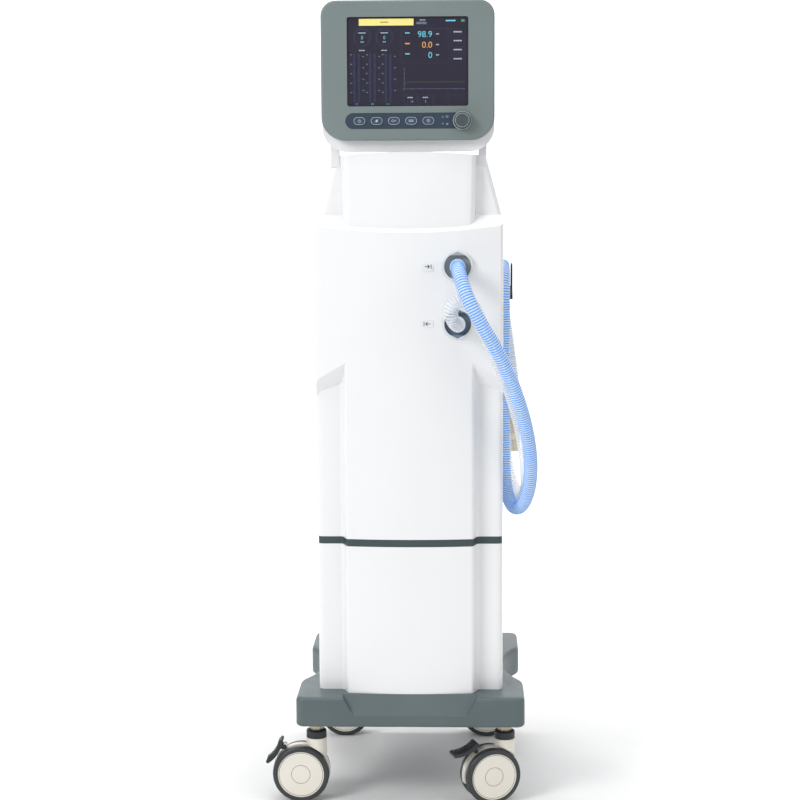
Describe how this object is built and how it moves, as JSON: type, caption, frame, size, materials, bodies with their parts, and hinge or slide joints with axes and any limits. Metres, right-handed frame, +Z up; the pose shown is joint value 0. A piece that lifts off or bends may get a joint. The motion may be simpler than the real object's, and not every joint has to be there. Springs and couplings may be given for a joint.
{
  "type": "mechanical ventilator",
  "caption": "Floor-standing hospital ventilator: a tall white cabinet on a wheeled base, with a tilting screen and a looped pair of corrugated breathing hoses hung on its side.",
  "frame": {"origin": "on the floor, under the centre of the base moulding", "axes": "+X to the right of a person facing the screen, +Y to the back, +Z up"},
  "size_m": [0.4795, 0.5615, 1.396],
  "materials": {
    "base_plastic": "fine satin moulded texture",
    "steel": "zinc plated",
    "frame_paint": "powder coated",
    "dark_plastic": "satin",
    "caster_cream": "semi gloss",
    "wheel_tread": "smooth rubber tread on a cream hub",
    "white_shell": "glossy white paint",
    "trim": "satin",
    "white_sheet": "powder coated",
    "port_grey": "satin with a white rim",
    "label": "printed film",
    "blue_hose": "corrugated polyethylene",
    "clear_hose": "translucent corrugated polyethylene",
    "wye_plastic": "translucent",
    "mixer_metal": "anodised",
    "brass": "turned",
    "black_plastic": "moulded",
    "supply_case": "sheet",
    "circuit_board": "solder mask",
    "bezel_grey": "fine satin texture",
    "strip_navy": "satin film",
    "key_navy": "satin film with a light outline",
    "screen_glass": "clear",
    "display": "lit display",
    "knob_grey": "satin"
  },
  "bodies": {
    "trolley": {"base_cover": "base_plastic", "base_frame": "frame_paint", "caster_stems": "steel", "caster_collars": "dark_plastic", "lower_shell": "white_shell", "trim_band": "trim", "upper_shell": "white_shell", "head_shell": "white_shell", "rear_panel": "white_sheet", "panel_screws": "steel", "inner_frame": "frame_paint", "inhale_port": "port_grey", "exhale_port": "port_grey", "port_labels": "label", "inspiratory_cuff": "blue_hose", "expiratory_cuff": "clear_hose", "gas_mixer": "mixer_metal", "oxygen_inlet": "brass", "second_gas_inlet": "brass", "mains_inlet": "black_plastic", "tilt_brackets": "white_sheet", "tilt_pins": "steel", "hose_hook": "dark_plastic", "inspiratory_hose": "blue_hose", "expiratory_hose": "clear_hose", "wye_piece": "wye_plastic", "power_supply": "supply_case", "battery_pack": "black_plastic", "control_board": "circuit_board"},
    "caster_front_left": {"caster_housing_front_left": "caster_cream", "caster_axle_front_left": "steel"},
    "wheel_front_left_outer": {"wheel_front_left_outer": "wheel_tread"},
    "wheel_front_left_inner": {"wheel_front_left_inner": "wheel_tread"},
    "brake_left": {"brake_pedal_left": "dark_plastic"},
    "caster_front_right": {"caster_housing_front_right": "caster_cream", "caster_axle_front_right": "steel"},
    "wheel_front_right_outer": {"wheel_front_right_outer": "wheel_tread"},
    "wheel_front_right_inner": {"wheel_front_right_inner": "wheel_tread"},
    "brake_right": {"brake_pedal_right": "dark_plastic"},
    "caster_rear_left": {"caster_housing_rear_left": "caster_cream", "caster_axle_rear_left": "steel"},
    "wheel_rear_left_outer": {"wheel_rear_left_outer": "wheel_tread"},
    "wheel_rear_left_inner": {"wheel_rear_left_inner": "wheel_tread"},
    "caster_rear_right": {"caster_housing_rear_right": "caster_cream", "caster_axle_rear_right": "steel"},
    "wheel_rear_right_inner": {"wheel_rear_right_inner": "wheel_tread"},
    "wheel_rear_right_outer": {"wheel_rear_right_outer": "wheel_tread"},
    "monitor": {"monitor_housing": "white_shell", "monitor_bezel": "bezel_grey", "keypad_strip": "strip_navy", "screen_glass": "screen_glass", "display_panel": "display", "monitor_board": "circuit_board"},
    "power_key": {"power_key": "key_navy"},
    "silence_key": {"silence_key": "key_navy"},
    "gas_key": {"gas_key": "key_navy"},
    "menu_key": {"menu_key": "key_navy"},
    "lamp_key": {"lamp_key": "key_navy"},
    "encoder": {"encoder_shaft": "steel"},
    "knob": {"control_knob": "knob_grey"}
  },
  "joints": [
    {"name": "front_left_swivel", "type": "hinge", "parent": "trolley", "child": "caster_front_left", "pos_m": [-0.168, -0.185, 0.105], "axis": [0, 0, 1], "continuous": true},
    {"name": "front_left_outer_wheel", "type": "hinge", "parent": "caster_front_left", "child": "wheel_front_left_outer", "pos_m": [-0.195, -0.185, 0.05], "axis": [0, 1, 0], "continuous": true},
    {"name": "front_left_inner_wheel", "type": "hinge", "parent": "caster_front_left", "child": "wheel_front_left_inner", "pos_m": [-0.195, -0.185, 0.05], "axis": [0, 1, 0], "continuous": true},
    {"name": "brake_left_tread", "type": "hinge", "parent": "caster_front_left", "child": "brake_left", "pos_m": [-0.225, -0.185, 0.096], "axis": [0, 1, 0], "range_deg": [0, 34]},
    {"name": "front_right_swivel", "type": "hinge", "parent": "trolley", "child": "caster_front_right", "pos_m": [0.166, -0.185, 0.105], "axis": [0, 0, 1], "continuous": true},
    {"name": "front_right_outer_wheel", "type": "hinge", "parent": "caster_front_right", "child": "wheel_front_right_outer", "pos_m": [0.14047, -0.19379, 0.05], "axis": [-0.3256, 0.9455, 0], "continuous": true},
    {"name": "front_right_inner_wheel", "type": "hinge", "parent": "caster_front_right", "child": "wheel_front_right_inner", "pos_m": [0.14047, -0.19379, 0.05], "axis": [-0.3256, 0.9455, 0], "continuous": true},
    {"name": "brake_right_tread", "type": "hinge", "parent": "caster_front_right", "child": "brake_right", "pos_m": [0.1121, -0.20356, 0.096], "axis": [-0.3256, 0.9455, 0], "range_deg": [-34, 0]},
    {"name": "rear_left_swivel", "type": "hinge", "parent": "trolley", "child": "caster_rear_left", "pos_m": [-0.168, 0.208, 0.105], "axis": [0, 0, 1], "continuous": true},
    {"name": "rear_left_outer_wheel", "type": "hinge", "parent": "caster_rear_left", "child": "wheel_rear_left_outer", "pos_m": [-0.141, 0.208, 0.05], "axis": [0, -1, 0], "continuous": true},
    {"name": "rear_left_inner_wheel", "type": "hinge", "parent": "caster_rear_left", "child": "wheel_rear_left_inner", "pos_m": [-0.141, 0.208, 0.05], "axis": [0, -1, 0], "continuous": true},
    {"name": "rear_right_swivel", "type": "hinge", "parent": "trolley", "child": "caster_rear_right", "pos_m": [0.166, 0.208, 0.105], "axis": [0, 0, 1], "continuous": true},
    {"name": "rear_right_inner_wheel", "type": "hinge", "parent": "caster_rear_right", "child": "wheel_rear_right_inner", "pos_m": [0.139, 0.208, 0.05], "axis": [0, 1, 0], "continuous": true},
    {"name": "rear_right_outer_wheel", "type": "hinge", "parent": "caster_rear_right", "child": "wheel_rear_right_outer", "pos_m": [0.139, 0.208, 0.05], "axis": [0, 1, 0], "continuous": true},
    {"name": "monitor_tilt", "type": "hinge", "parent": "trolley", "child": "monitor", "pos_m": [0, -0.16, 1.166], "axis": [1, 0, 0], "range_deg": [-20, 5]},
    {"name": "power_key_press", "type": "slide", "parent": "monitor", "child": "power_key", "axis": [0, 1, 0], "range_m": [0, 0.0008], "stiffness_N_per_m": 2000},
    {"name": "silence_key_press", "type": "slide", "parent": "monitor", "child": "silence_key", "axis": [0, 1, 0], "range_m": [0, 0.0008], "stiffness_N_per_m": 2000},
    {"name": "gas_key_press", "type": "slide", "parent": "monitor", "child": "gas_key", "axis": [0, 1, 0], "range_m": [0, 0.0008], "stiffness_N_per_m": 2000},
    {"name": "menu_key_press", "type": "slide", "parent": "monitor", "child": "menu_key", "axis": [0, 1, 0], "range_m": [0, 0.0008], "stiffness_N_per_m": 2000},
    {"name": "lamp_key_press", "type": "slide", "parent": "monitor", "child": "lamp_key", "axis": [0, 1, 0], "range_m": [0, 0.0008], "stiffness_N_per_m": 2000},
    {"name": "encoder_press", "type": "slide", "parent": "monitor", "child": "encoder", "axis": [0, 1, 0], "range_m": [0, 0.0006], "stiffness_N_per_m": 3000},
    {"name": "knob_turn", "type": "hinge", "parent": "encoder", "child": "knob", "pos_m": [0.092, -0.222, 1.1945], "axis": [0, 1, 0], "continuous": true}
  ]
}
